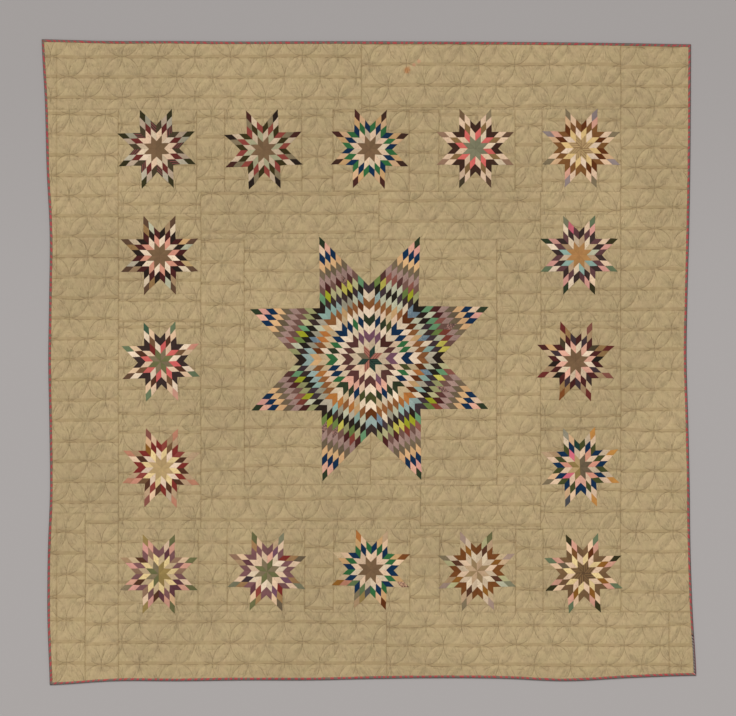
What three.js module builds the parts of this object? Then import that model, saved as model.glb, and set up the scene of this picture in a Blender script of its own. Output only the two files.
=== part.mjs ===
// A star quilt laid out flat on its back: one quilted cotton body and the narrow binding
// folded round its edge. X runs across the quilt, Y up its length, Z up through its thickness.
// The origin is under the middle of the outline. All sizes are in millimetres.
import * as THREE from 'three';

// The finished outline: a rectangle, and how far each edge stands out past it at even stations.
const halfWidth = 1150;
const halfLength = 1140;
const edgeWander = {
  left: [2, 10, 9, 1, 3, 7, 4, 2, 13, 19, 31], // from the bottom corner up
  right: [31, 18, 10, 7, 2, -4, -1, 5, 9, 11, 12],
  top: [25, 19, 19, 17, 18, 18, 17, 16, 14, 11, 7], // from the left corner across
  bottom: [25, 11, 11, 8, 8, 3, 0, 2, 11, -1, -9],
};

// Quilting in overlapping circles: each circle is as wide as two columns and as high as two rows.
const columns = 35;
const rows = 32;
const stitchHeight = 2.3; // the top face where the quilting thread holds it down
const crownHeight = 4.7; // between the lines, at the lower left corner of the quilt
const crownGrowth = 0.7; // more height at the upper right corner, where it puffs up most
const patchHeight = 3.6; // under the stars, where the seams lie flat

// The big star and the ring of small ones, whose middles stand five to a side.
const starCentre = [3, 12];
const starReach = 476; // from the middle to a tip
const smallReach = 155;
const ringColumns = [-760, -372, 4, 388, 765];
const ringRows = [-755, -379, 5, 386, 773];

// The body's edge is thinned underneath and on top, to go into the folded binding.
const rimBottom = 1.1;
const rimTop = 3.2;
const rimInset = 9.5; // how far the thinned rim runs in from the finished edge
const bodyInset = 1.2; // from the finished edge to the body's own edge

// The binding's section: how far in from the finished edge, and how high.
const bindingReach = 9.2;
const bindingTop = 4.4;
const bindingRound = 0.6;
const bindingGap = 0.3; // air left between the binding and the body
const mitreCut = 0.22; // taken off each end, so that two strips don't touch
const mendRows = 2; // the mended length, counted in rows of quilting from the lower right corner

const splines = Object.fromEntries(Object.entries(edgeWander).map(([side, offsets]) => [
  side,
  new THREE.SplineCurve(offsets.map((offset, station) => new THREE.Vector2(station, offset))),
]));

function wander(side, t) {
  return splines[side].getPoint(t).y;
}

function runsUp(side) {
  return side === 'left' || side === 'right';
}

// How many lengths between quilting lines there are along a side.
function stepsAlong(side) {
  return runsUp(side) ? rows : columns;
}

// One edge of the outline, moved in by inset, at t along it: left and right run up, top and
// bottom run from left to right.
function edgePoint(side, t, inset) {
  const mix = THREE.MathUtils.lerp;
  const x = { left: -halfWidth + inset, right: halfWidth - inset };
  const y = { bottom: -halfLength + inset, top: halfLength - inset };
  if (runsUp(side)) {
    const out = side === 'left' ? -1 : 1;
    const end = side === 'left' ? 0 : 1;
    return [
      x[side] + out * wander(side, t),
      mix(y.bottom - wander('bottom', end), y.top + wander('top', end), t),
    ];
  }
  const out = side === 'bottom' ? -1 : 1;
  const end = side === 'bottom' ? 0 : 1;
  return [
    mix(x.left - wander('left', end), x.right + wander('right', end), t),
    y[side] + out * wander(side, t),
  ];
}

// A point of the quilt at u across and v up, both 0 to 1, blended from the four edges.
function clothPoint(u, v, inset) {
  return [0, 1].map((axis) => {
    const left = edgePoint('left', v, inset)[axis];
    const right = edgePoint('right', v, inset)[axis];
    const bottom = edgePoint('bottom', u, inset)[axis];
    const top = edgePoint('top', u, inset)[axis];
    const corners = (1 - u) * (1 - v) * edgePoint('bottom', 0, inset)[axis]
      + u * (1 - v) * edgePoint('bottom', 1, inset)[axis]
      + (1 - u) * v * edgePoint('top', 0, inset)[axis]
      + u * v * edgePoint('top', 1, inset)[axis];
    return (1 - u) * left + u * right + (1 - v) * bottom + v * top - corners;
  });
}

// The middle of the finished outline's box, which becomes the origin.
const middle = (() => {
  const box = new THREE.Box2();
  for (const side of Object.keys(edgeWander)) {
    for (let step = 0; step <= stepsAlong(side); step += 1) {
      box.expandByPoint(new THREE.Vector2(...edgePoint(side, step / stepsAlong(side), 0)));
    }
  }
  return box.getCenter(new THREE.Vector2());
})();

const stars = [{ x: starCentre[0], y: starCentre[1], reach: starReach }];
for (const [column, x] of ringColumns.entries()) {
  for (const [row, y] of ringRows.entries()) {
    const onRing = column % 4 === 0 || row % 4 === 0;
    if (onRing) stars.push({ x, y, reach: smallReach });
  }
}

// Whether a point lies on the patchwork of a star: an arm's two edges meet at its tip, and each
// runs from there to the inner corner between two arms.
function onStar(x, y) {
  const arm = Math.PI / 4;
  return stars.some((star) => {
    const turned = THREE.MathUtils.euclideanModulo(Math.atan2(y - star.y, x - star.x) / arm, 1);
    const fromTip = Math.abs(turned - 0.5) * arm;
    const radius = Math.hypot(x - star.x, y - star.y);
    return radius * Math.sin(fromTip + arm / 2) < star.reach * Math.sin(arm / 2);
  });
}

// A growing list of corners and triangles that becomes one closed mesh.
class Shell {
  constructor() {
    this.corners = [];
    this.triangles = [];
  }

  corner(x, y, z) {
    this.corners.push(x - middle.x, y - middle.y, z);
    return this.corners.length / 3 - 1;
  }

  quad(a, b, c, d) {
    this.triangles.push(a, b, c, a, c, d);
  }

  geometry() {
    const geometry = new THREE.BufferGeometry();
    geometry.setAttribute('position', new THREE.Float32BufferAttribute(this.corners, 3));
    geometry.setIndex(this.triangles);
    geometry.computeVertexNormals();
    return geometry;
  }
}

// The stations round the outline, counterclockwise from the lower left corner.
function ringStations() {
  const stations = [];
  for (let i = 0; i < columns; i += 1) stations.push(['bottom', i / columns]);
  for (let j = 0; j < rows; j += 1) stations.push(['right', j / rows]);
  for (let i = columns; i > 0; i -= 1) stations.push(['top', i / columns]);
  for (let j = rows; j > 0; j -= 1) stations.push(['left', j / rows]);
  return stations;
}

function crown(u, v) {
  return crownHeight + crownGrowth * (u + v) / 2;
}

// The quilted body: every cell between four lattice points holds an arc of each of two circles,
// which the thread draws down, and between them a raised petal.
function quiltBody() {
  const shell = new Shell();
  const raised = (u, v, height) => {
    const [x, y] = clothPoint(u, v, rimInset);
    return shell.corner(x, y, onStar(x - middle.x, y - middle.y) ? patchHeight : height);
  };
  const isCrossing = (i, j) => (i + (rows - j)) % 2 === 1;

  const lattice = [];
  for (let j = 0; j <= rows; j += 1) {
    const line = [];
    for (let i = 0; i <= columns; i += 1) {
      const onRim = i === 0 || j === 0 || i === columns || j === rows;
      const u = i / columns;
      const v = j / rows;
      if (onRim) line.push(shell.corner(...clothPoint(u, v, rimInset), rimTop));
      else line.push(raised(u, v, isCrossing(i, j) ? stitchHeight : crown(u, v)));
    }
    lattice.push(line);
  }

  for (let j = 0; j < rows; j += 1) {
    for (let i = 0; i < columns; i += 1) {
      // The cell's corners counterclockwise, starting at a circle's centre.
      const square = [[i, j], [i + 1, j], [i + 1, j + 1], [i, j + 1]];
      const first = isCrossing(i, j) ? 1 : 0;
      const around = square.map((_, k) => square[(first + k) % 4]);
      const [centre, crossing, facing, otherCrossing] = around.map(([a, b]) => lattice[b][a]);
      const along = (share) => [0, 1].map((axis) => (
        around[0][axis] + share * (around[2][axis] - around[0][axis])
      ));
      const place = (share, height) => {
        const [a, b] = along(share);
        return raised(a / columns, b / rows, height);
      };
      const nearArc = place(1 - Math.SQRT1_2, stitchHeight);
      const farArc = place(Math.SQRT1_2, stitchHeight);
      const petal = place(0.5, crown(i / columns, j / rows));
      shell.triangles.push(
        centre, crossing, nearArc,
        centre, nearArc, otherCrossing,
        nearArc, crossing, petal,
        nearArc, petal, otherCrossing,
        petal, crossing, farArc,
        petal, farArc, otherCrossing,
        farArc, crossing, facing,
        farArc, facing, otherCrossing,
      );
    }
  }

  const latticeAt = {
    bottom: (t) => lattice[0][Math.round(t * columns)],
    top: (t) => lattice[rows][Math.round(t * columns)],
    left: (t) => lattice[Math.round(t * rows)][0],
    right: (t) => lattice[Math.round(t * rows)][columns],
  };
  const stations = ringStations();
  const rings = [
    stations.map(([side, t]) => latticeAt[side](t)),
    ...[[bodyInset, rimTop], [bodyInset, rimBottom], [rimInset, rimBottom], [rimInset, 0]].map(
      ([inset, height]) => stations.map(
        ([side, t]) => shell.corner(...edgePoint(side, t, inset), height),
      ),
    ),
  ];
  const bottomMiddle = shell.corner(middle.x, middle.y, 0);
  for (const k of stations.keys()) {
    const next = (k + 1) % stations.length;
    for (let ring = 0; ring + 1 < rings.length; ring += 1) {
      shell.quad(rings[ring][k], rings[ring + 1][k], rings[ring + 1][next], rings[ring][next]);
    }
    const underside = rings[rings.length - 1];
    shell.triangles.push(bottomMiddle, underside[next], underside[k]);
  }
  return shell.geometry();
}

// The binding's section, wrapped round the edge from its inner edge underneath to the same
// place on top, then back along the inside of the fold.
const bindingSection = [
  [bindingReach, 0],
  [bindingRound, 0],
  [0, bindingRound],
  [0, bindingTop - bindingRound],
  [bindingRound, bindingTop],
  [bindingReach, bindingTop],
  [bindingReach, rimTop + bindingGap],
  [bodyInset - bindingGap, rimTop + bindingGap],
  [bodyInset - bindingGap, rimBottom - bindingGap],
  [bindingReach, rimBottom - bindingGap],
];

// A strip of binding along one side, from one station to another of its quilting lines.
function bindingStrip(side, from, to) {
  const shell = new Shell();
  const along = runsUp(side) ? 1 : 0;
  const sections = [];
  for (let step = from; step <= to; step += 1) {
    const cut = step === from ? mitreCut : step === to ? -mitreCut : 0;
    sections.push(bindingSection.map(([inset, height]) => {
      const point = edgePoint(side, step / stepsAlong(side), inset);
      point[along] += cut;
      return shell.corner(...point, height);
    }));
  }
  const mirrored = side === 'right' || side === 'bottom';
  const add = (a, b, c) => shell.triangles.push(...(mirrored ? [a, c, b] : [a, b, c]));
  const outline = bindingSection.map(([inset, height]) => new THREE.Vector2(inset, height));
  for (const [a, b, c] of THREE.ShapeUtils.triangulateShape(outline, [])) {
    add(sections[0][a], sections[0][b], sections[0][c]);
    add(sections.at(-1)[a], sections.at(-1)[c], sections.at(-1)[b]);
  }
  for (let step = 0; step + 1 < sections.length; step += 1) {
    for (const k of bindingSection.keys()) {
      const next = (k + 1) % bindingSection.length;
      const [a, b] = [sections[step][k], sections[step][next]];
      const [c, d] = [sections[step + 1][next], sections[step + 1][k]];
      add(a, b, c);
      add(a, c, d);
    }
  }
  return shell.geometry();
}

const tanCloth = new THREE.MeshStandardMaterial({ color: 0xaa9471, roughness: 0.95 });
const plaidCloth = new THREE.MeshStandardMaterial({ color: 0x8d6a58, roughness: 0.9 });
const mendCloth = new THREE.MeshStandardMaterial({ color: 0x6b3b3a, roughness: 0.9 });

const quilt = new THREE.Group();

function addPiece(name, geometry, material) {
  const piece = new THREE.Mesh(geometry, material);
  piece.name = name;
  quilt.add(piece);
}

addPiece('quilt_body', quiltBody(), tanCloth);
addPiece('binding_top', bindingStrip('top', 0, columns), plaidCloth);
addPiece('binding_left', bindingStrip('left', 0, rows), plaidCloth);
addPiece('binding_bottom', bindingStrip('bottom', 0, columns), plaidCloth);
addPiece('binding_right', bindingStrip('right', mendRows, rows), plaidCloth);
addPiece('binding_mend', bindingStrip('right', 0, mendRows), mendCloth);

export default quilt;
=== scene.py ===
# A pieced star quilt laid out flat on its back, seen from straight above.
# X runs across the quilt, Y up its length and Z up. All sizes are in metres unless a note says so.
import math

import bpy
import numpy as np
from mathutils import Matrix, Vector


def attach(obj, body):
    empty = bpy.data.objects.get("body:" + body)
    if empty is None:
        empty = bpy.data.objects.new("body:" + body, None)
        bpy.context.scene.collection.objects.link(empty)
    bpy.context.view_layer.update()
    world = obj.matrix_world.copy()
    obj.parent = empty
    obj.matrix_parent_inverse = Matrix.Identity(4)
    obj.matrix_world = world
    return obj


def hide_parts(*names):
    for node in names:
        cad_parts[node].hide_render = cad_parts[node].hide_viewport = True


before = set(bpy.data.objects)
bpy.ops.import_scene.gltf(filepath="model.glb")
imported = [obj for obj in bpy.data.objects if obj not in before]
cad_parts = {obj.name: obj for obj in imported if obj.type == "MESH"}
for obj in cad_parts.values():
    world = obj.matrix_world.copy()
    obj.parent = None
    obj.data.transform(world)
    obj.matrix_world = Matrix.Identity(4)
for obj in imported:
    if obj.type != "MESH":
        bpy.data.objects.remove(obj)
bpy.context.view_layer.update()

mm = 0.001
body = "root"


# Camera, light and floor

studio = {
    "pixelSize": 3.61 * mm,  # of quilt to one pixel of the photograph
    "photoSize": (736, 716),  # pixels
    "originPixel": (368.9, 362.1),  # where the quilt's origin lies in the photograph
    "lens": 85,
    "sensor": 36,
    "sunFrom": 118,  # degrees counterclockwise from +X, seen from above
    "sunHeight": 40,  # degrees above the floor
    "sunWidth": 14,  # degrees across, for soft shadows
    "sunShare": 0.42,  # of all the light that a level surface gets
    "skyColour": (1.0, 1.0, 1.0),
    "floorSize": 60,
    # the floor's tone, and a darker one towards +Y that is painted shade
    "floorToneAndPaintedShade": ((170, 165, 163), (163, 158, 156)),
    "clipEnd": 200,
    "sunAway": 5,
}


def linear(colour):
    # A colour in 0 to 255 as it shows on screen, to the linear values that shaders take.
    share = np.array(colour, float) / 255
    return tuple(np.where(share < 0.04045, share / 12.92, ((share + 0.055) / 1.055) ** 2.4))


def addCamera():
    across = studio["pixelSize"] * studio["photoSize"][0]
    middle = [size / 2 for size in studio["photoSize"]]
    right = (middle[0] - studio["originPixel"][0]) * studio["pixelSize"]
    up = (studio["originPixel"][1] - middle[1]) * studio["pixelSize"]
    bpy.ops.object.camera_add(location=(right, up, across * studio["lens"] / studio["sensor"]))
    camera = bpy.context.object
    camera.data.lens = studio["lens"]
    camera.data.sensor_width = studio["sensor"]
    camera.data.clip_end = studio["clipEnd"]
    bpy.context.scene.camera = camera


def addLight():
    scene = bpy.context.scene
    scene.view_settings.view_transform = "Standard"
    height = math.radians(studio["sunHeight"])
    turn = math.radians(studio["sunFrom"])
    toSun = Vector((
        math.cos(height) * math.cos(turn),
        math.cos(height) * math.sin(turn),
        math.sin(height),
    ))
    bpy.ops.object.light_add(type="SUN", location=toSun * studio["sunAway"])
    sun = bpy.context.object
    sun.rotation_euler = toSun.to_track_quat("Z", "Y").to_euler()
    sun.data.angle = math.radians(studio["sunWidth"])
    sun.data.energy = studio["sunShare"] * math.pi / math.sin(height)
    world = bpy.data.worlds.new("softRoom")
    world.use_nodes = True
    sky = world.node_tree.nodes["Background"]
    sky.inputs["Color"].default_value = (*studio["skyColour"], 1)
    sky.inputs["Strength"].default_value = 1 - studio["sunShare"]
    scene.world = world


addCamera()
addLight()
print("camera and light set")


# Node helpers, which work on the tree that newGroup or newMaterial began last

bench = {}


def fillSockets(node, sockets):
    for name, value in sockets.items():
        if isinstance(value, bpy.types.NodeSocket):
            bench["tree"].links.new(value, node.inputs[name])
        else:
            node.inputs[name].default_value = value


def addNode(kind, sockets=None, **settings):
    node = bench["tree"].nodes.new("ShaderNode" + kind)
    for name, value in settings.items():
        setattr(node, name, value)
    fillSockets(node, sockets or {})
    return node


def calc(operation, *values):
    # One Math node, with numbers or sockets as its values.
    return addNode("Math", dict(enumerate(values)), operation=operation).outputs[0]


def times(first, second):
    return calc("MULTIPLY", first, second)


def minus(first, second):
    return calc("SUBTRACT", first, second)


def addTo(value, factor, base):
    return calc("MULTIPLY_ADD", value, factor, base)


def gapFrom(value, target):
    return calc("ABSOLUTE", minus(value, target))


def wave(kind, value, factor):
    # kind is SINE or COSINE
    return calc(kind, times(value, factor))


def vectorCalc(operation, *values):
    return addNode("VectorMath", dict(enumerate(values)), operation=operation).outputs


def splitAxes(vector):
    return addNode("SeparateXYZ", {"Vector": vector}).outputs


def noise(place, scale, detail=2.0, output="Fac"):
    sockets = {"Vector": place, "Scale": scale, "Detail": detail}
    return addNode("TexNoise", sockets).outputs[output]


def readLayer(name, output="Fac"):
    return addNode("Attribute", attribute_name=name).outputs[output]


def readUv():
    return addNode("UVMap").outputs["UV"]


def fade(value, low, high, toLow=0.0, toHigh=1.0):
    # toLow where value is at or under low, toHigh where it is at or over high, eased between.
    names = ("Value", "From Min", "From Max", "To Min", "To Max")
    sockets = dict(zip(names, (value, low, high, toLow, toHigh)))
    return addNode("MapRange", sockets, interpolation_type="SMOOTHSTEP").outputs["Result"]


def blendColours(kind, factor, *colours):
    node = addNode("Mix", data_type="RGBA", blend_type=kind)
    given = [c if isinstance(c, bpy.types.NodeSocket) else (*c[:3], 1) for c in colours]
    fillSockets(node, {0: factor, 6: given[0], 7: given[1]})
    return node.outputs[2]


def newGroup(name, **inputs):
    # inputs: each socket and its kind
    group = bpy.data.node_groups.new(name, "ShaderNodeTree")
    for socket, kind in inputs.items():
        group.interface.new_socket(name=socket, in_out="INPUT", socket_type="NodeSocket" + kind)
    bench["tree"] = group
    return group.nodes.new("NodeGroupInput").outputs


def closeGroup(**results):
    group = bench["tree"]
    for name in results:
        kind = "NodeSocketColor" if name == "Color" else "NodeSocketFloat"
        group.interface.new_socket(name=name, in_out="OUTPUT", socket_type=kind)
    fillSockets(group.nodes.new("NodeGroupOutput"), results)
    return group


def useGroup(group, **sockets):
    return addNode("Group", sockets, node_tree=group).outputs


def newMaterial(name):
    material = bpy.data.materials.new(name)
    material.use_nodes = True
    bench["tree"] = material.node_tree
    shader = material.node_tree.nodes["Principled BSDF"]
    return material, shader, addNode("TexCoord").outputs["Object"]


def weaveTone(threads, colour, spread):
    # The cloth's colour with the light and dark of its threads.
    shade = fade(threads["Shade"], 0.25, 0.75, 1 - spread, 1 + spread)
    return addNode("HueSaturation", {"Color": colour, "Value": shade}).outputs["Color"]


def finishCloth(shader, colour, rough, gloss, layers):
    # layers: the heights that make up the bump, each with its size in metres
    relief = 0.0
    for height, size in layers:
        relief = addTo(height, size, relief)
    bump = addNode("Bump", {"Height": relief, "Strength": 1.0, "Distance": 1.0})
    fillSockets(shader, {
        "Base Color": colour, "Roughness": rough, "Normal": bump.outputs["Normal"],
        "Specular IOR Level": gloss,
    })


# Effects that several cloths share

def weaveGroup():
    # Plain weave: threads over and under each other, a little uneven.
    given = newGroup("clothWeave", Vector="Vector", Threads="Float")
    nudge = times(noise(given["Vector"], 160.0, 1.0), 0.9)
    apart = splitAxes(given["Vector"])
    waves = []
    for axis in ("X", "Y"):
        along = times(apart[axis], given["Threads"])
        waves.append(wave("SINE", calc("ADD", along, nudge), math.pi))
    over = times(*waves)
    shade = addTo(over, 0.06, noise(given["Vector"], 900.0))
    return closeGroup(Height=over, Shade=shade)


def ageGroup():
    # Uneven fading and soiling: a few broad soft patches and a fine mottle.
    given = newGroup("agedCloth", Color="Color", Vector="Vector", Amount="Float")
    broad = noise(given["Vector"], 2.6, 3.0)
    both = addTo(noise(given["Vector"], 95.0, 3.0), 0.6, broad)
    value = addTo(fade(both, 0.5, 1.1, -0.09, 0.09), given["Amount"], 1.0)
    hue = fade(noise(given["Vector"], 22.0), 0.3, 0.7, 0.497, 0.503)
    tinted = addNode("HueSaturation", {"Color": given["Color"], "Hue": hue, "Value": value})
    return closeGroup(Color=tinted.outputs["Color"], Mask=broad)


def puckerGroup():
    # Small creases that run mostly up the cloth, with a few that lean.
    given = newGroup("smallPuckers", Vector="Vector")
    drift = noise(given["Vector"], 16.0, output="Color")
    moved = vectorCalc("MULTIPLY_ADD", drift, (0.03, 0.012, 0.0), given["Vector"])[0]
    layers = [
        noise(vectorCalc("MULTIPLY", moved, stretch)[0], 1.0)
        for stretch in ((150.0, 26.0, 1.0), (75.0, 17.0, 1.0))
    ]
    return closeGroup(Height=calc("ADD", *layers))


def stitchGroup():
    # Distance from the quilted circles, and the running stitches along them. The vector counts
    # steps of the quilting, so circles of one step's radius stand where X + Y is even.
    given = newGroup("quiltingLines", Vector="Vector")
    apart = splitAxes(given["Vector"])
    folded = []
    for operation in ("ADD", "SUBTRACT"):
        half = times(calc(operation, apart["X"], apart["Y"]), 0.5)
        folded.append(minus(calc("FRACT", half), 0.5))
    across = calc("ADD", *folded)
    up = minus(*folded)
    gaps = []
    angles = []
    for near, far in ((across, up), (up, across)):
        inward = minus(1.0, calc("ABSOLUTE", near))
        squares = calc("ADD", calc("POWER", inward, 2.0), times(far, far))
        gaps.append(gapFrom(calc("SQRT", squares), 1.0))
        angles.append(calc("ARCTAN2", far, inward))
    nearest = calc("MINIMUM", *gaps)
    sockets = {0: calc("LESS_THAN", *gaps), 2: angles[1], 3: angles[0]}
    angle = addNode("Mix", sockets, data_type="FLOAT").outputs[0]
    beat = calc("FRACT", times(angle, 13.0))
    dash = times(fade(beat, 0.40, 0.5), fade(beat, 0.9, 1.0, 1, 0))
    thread = times(dash, fade(nearest, 0.003, 0.009, 1.0, 0.0))
    return closeGroup(Line=fade(nearest, 0.004, 0.022, 1.0, 0.0), Stitch=thread)


def gatherGroup():
    # Where the quilting draws the cloth in: a flat band along every row, a fold at its lower
    # edge in places, and creases that fan up and down from where the circles cross. The vector
    # counts steps of the quilting.
    # The ground's material darkens its colour with these masks as painted shade, and sinks its bump
    # with them.
    given = newGroup("quiltedGathers", Vector="Vector")
    apart = splitAxes(given["Vector"])
    fromRow = minus(apart["Y"], calc("ROUND", apart["Y"]))
    patchy = noise(given["Vector"], 1.15)
    often = noise(given["Vector"], 2.6, 1.0)
    band = fade(calc("ABSOLUTE", fromRow), 0.07, 0.11, 1.0, 0.0)
    band = times(band, fade(patchy, 0.3, 0.55, 0.65, 1.0))
    lowerEdge = addTo(patchy, 0.05, calc("ADD", fromRow, 0.04))
    fold = fade(calc("ABSOLUTE", lowerEdge), 0.0, 0.024, 1.0, 0.0)
    fold = times(fold, fade(often, 0.42, 0.6))

    # the creases crowd together towards a crossing and stand apart between two
    upWave = wave("COSINE", apart["Y"], math.pi)
    bend = times(wave("SINE", apart["X"], math.pi), upWave)
    bundled = addTo(bend, -0.7 / math.pi, apart["X"])
    layers = []
    for across, up, width, strength in ((7.0, 1.4, 0.045, 1.0), (13.0, 2.4, 0.06, 0.85)):
        spot = addNode("CombineXYZ", {"X": times(bundled, across), "Y": times(apart["Y"], up)})
        away = gapFrom(noise(spot.outputs[0], 1.0, 0.0), 0.5)
        layers.append(fade(away, 0.0, width, strength, 0.0))
    crease = times(calc("MAXIMUM", *layers), fade(often, 0.38, 0.6, 0.3, 1.0))
    crease = times(crease, minus(1.0, band))

    # a quilted line shows in places, and most often near a crossing
    fromCrossing = times(wave("COSINE", apart["X"], math.pi), upWave)
    shown = fade(addTo(fromCrossing, -0.09, patchy), 0.42, 0.58, 0.25, 1.0)
    return closeGroup(Band=band, Fold=fold, Crease=crease, Shown=shown)


weave = weaveGroup()
age = ageGroup()
puckers = puckerGroup()
stitches = stitchGroup()
gathers = gatherGroup()


# The finished outline, as the quilt's own body has it

outline = {
    "halfWidth": 1150 * mm,
    "halfLength": 1140 * mm,
    # how far each edge stands out past the rectangle, in millimetres at even stations
    "left": [2, 10, 9, 1, 3, 7, 4, 2, 13, 19, 31],  # from the bottom corner up
    "right": [31, 18, 10, 7, 2, -4, -1, 5, 9, 11, 12],
    "top": [25, 19, 19, 17, 18, 18, 17, 16, 14, 11, 7],  # from the left corner across
    "bottom": [25, 11, 11, 8, 8, 3, 0, 2, 11, -1, -9],
    "edgeInset": 1.2 * mm,  # from the finished edge to the top's own edge
    "rimInset": 9.5 * mm,  # the quilting starts this far in
}
quilting = {
    "columns": 35,
    "rows": 32,
    "across": 65 * mm,  # one step of the lattice
    "up": 73.6 * mm,
    "stitch": 2.7 * mm,  # height where the thread holds the top down
    "crown": 4.6 * mm,  # height between the lines, at the lower left corner
    "growth": 0.8 * mm,  # and how much more at the upper right one
    "round": 2.4 * mm,  # half the width of a line's rounded bottom
    "slope": 8 * mm,  # over which the cloth rises beside a line
    "rowTrough": 0.85 * mm,  # the flat band along each row of crossings
    "rowBottom": 3.8 * mm,  # half its width, where it is level
    "rowTop": 8.8 * mm,  # and where it ends
    "rowShare": 0.75,  # of its depth, before the unevenness
    "patch": 3.6 * mm,  # under the stars, and along the seams before they dip
    "rim": 3.2 * mm,
    "least": 1.25 * mm,  # what lies under the top keeps below this
    "bundling": 0.7,  # how far the puckers crowd towards a crossing
    "puckerStrength": (0.7, 0.5),  # at the lower left, and how much more at the upper right
    "seed": 11,
}
unevenness = {  # how much, its cell across and up in metres, and what is added to the seed
    "strayAcross": (0.05, 0.10, 0.12, 0),  # of a step, how far a line strays
    "strayUp": (0.05, 0.13, 0.08, 1),
    "puff": (0.16, 0.045, 0.05, 2),
    "trough": (0.3, 0.09, 0.04, 3),
    "narrowPuckers": (0.28 * mm, 0.012, 0.045, 5),
    "widePuckers": (0.28 * mm, 0.022, 0.080, 6),
    "ripples": (0.18 * mm, 0.05, 0.018, 7),
    "level": (0.3 * mm, 0.21, 0.19, 8),
}


def softNoise(x, y, cellX, cellY, seed):
    # Smooth seeded noise from -1 to 1, one random value to a cell.
    size = 512
    values = np.random.default_rng(seed).uniform(-1, 1, (size, size))
    px = x / cellX + size / 2
    py = y / cellY + size / 2
    i = np.floor(px).astype(int)
    j = np.floor(py).astype(int)
    fx = ease(px - i, 0, 1)
    rows = [
        values[(j + k) % size, i % size] * (1 - fx) + values[(j + k) % size, (i + 1) % size] * fx
        for k in (0, 1)
    ]
    fy = ease(py - j, 0, 1)
    return rows[0] * (1 - fy) + rows[1] * fy


def uneven(kind, x, y):
    # One unevenness of the top, from minus its amount to plus its amount.
    amount, cellX, cellY, extra = unevenness[kind]
    return amount * softNoise(x, y, cellX, cellY, quilting["seed"] + extra)


def ease(value, low, high):
    share = np.clip((value - low) / (high - low), 0, 1)
    return share * share * (3 - 2 * share)


def wander(side, t):
    # How far an edge stands out past the rectangle, smooth between its stations.
    offsets = np.array(outline[side]) * mm
    last = len(offsets) - 1
    place = np.clip(t, 0, 1) * last
    first = np.minimum(np.floor(place).astype(int), last - 1)
    part = place - first
    before, start, end, after = (offsets[np.clip(first + k, 0, last)] for k in (-1, 0, 1, 2))
    rise = (end - before) / 2
    fall = (after - start) / 2
    cubic = (2 * start - 2 * end + rise + fall) * part**3
    square = (3 * end - 3 * start - 2 * rise - fall) * part**2
    return cubic + square + rise * part + start


def edgePoint(side, t, inset):
    # A point of one edge of the outline, moved in by inset: left and right run up, top and
    # bottom run from left to right.
    upright = side in ("left", "right")
    sides = ("halfWidth", "halfLength") if upright else ("halfLength", "halfWidth")
    reach, span = (outline[name] - inset for name in sides)
    ends = ("bottom", "top") if upright else ("left", "right")
    out = -1 if side in ("left", "bottom") else 1
    low = -span - wander(ends[0], max(out, 0))
    high = span + wander(ends[1], max(out, 0))
    along = low + (high - low) * t
    away = out * (reach + wander(side, t))
    return (away, along) if upright else (along, away)


def boxMiddle():
    stations = np.linspace(0, 1, 200)
    points = [edgePoint(side, stations, 0) for side in ("left", "right", "top", "bottom")]
    x, y = (np.concatenate([p[axis] for p in points]) for axis in (0, 1))
    return (x.min() + x.max()) / 2, (y.min() + y.max()) / 2


middle = boxMiddle()


def betweenCorners(u, v, lowLeft, lowRight, highLeft, highRight):
    low = (1 - u) * (1 - v) * lowLeft + u * (1 - v) * lowRight
    return low + (1 - u) * v * highLeft + u * v * highRight


def clothPoint(u, v, inset):
    # A point at u across and v up, both 0 to 1, blended from the four edges.
    sides = (("left", v), ("right", v), ("bottom", u), ("top", u))
    left, right, bottom, top = (edgePoint(side, t, inset) for side, t in sides)
    ends = [edgePoint(side, t, inset) for side in ("bottom", "top") for t in (0, 1)]
    result = []
    for axis in (0, 1):
        corners = betweenCorners(u, v, *(point[axis] for point in ends))
        blended = (1 - u) * left[axis] + u * right[axis]
        blended = blended + (1 - v) * bottom[axis] + v * top[axis] - corners
        result.append(blended - middle[axis])
    return result


def strayedSteps(x, y, a, b):
    # The quilted lines stray a little from even steps.
    return a + uneven("strayAcross", x, y), b + uneven("strayUp", x, y)


def backingSteps(x, y):
    # How many steps of the quilting a point is from the lower left.
    u = x / (2 * outline["halfWidth"]) + 0.5
    v = y / (2 * outline["halfLength"]) + 0.5
    for _ in range(4):
        px, py = clothPoint(u, v, outline["rimInset"])
        u = u + (x - px) / (2 * outline["halfWidth"])
        v = v + (y - py) / (2 * outline["halfLength"])
    return strayedSteps(x, y, u * quilting["columns"], v * quilting["rows"])


def patchSteps(x, y, lattice):
    # How many steps of a patch's own quilting a point is from its lowest row.
    a = (x - lattice["crossing"]) / quilting["across"] + lattice["shift"]
    return strayedSteps(x, y, a, 1 + (y - lattice["row"]) / lattice["up"])


def lineDistance(a, b):
    # In steps, from the nearest quilted circle.
    s, t = ((w / 2) - np.floor(w / 2) - 0.5 for w in (a + b, a - b))
    across = np.abs(s + t)
    up = np.abs(s - t)
    return np.minimum(
        np.abs(np.hypot(1 - across, up) - 1), np.abs(np.hypot(across, 1 - up) - 1)
    )


# The stars: where each stands, its turn in degrees counterclockwise, and its cloths

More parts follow.
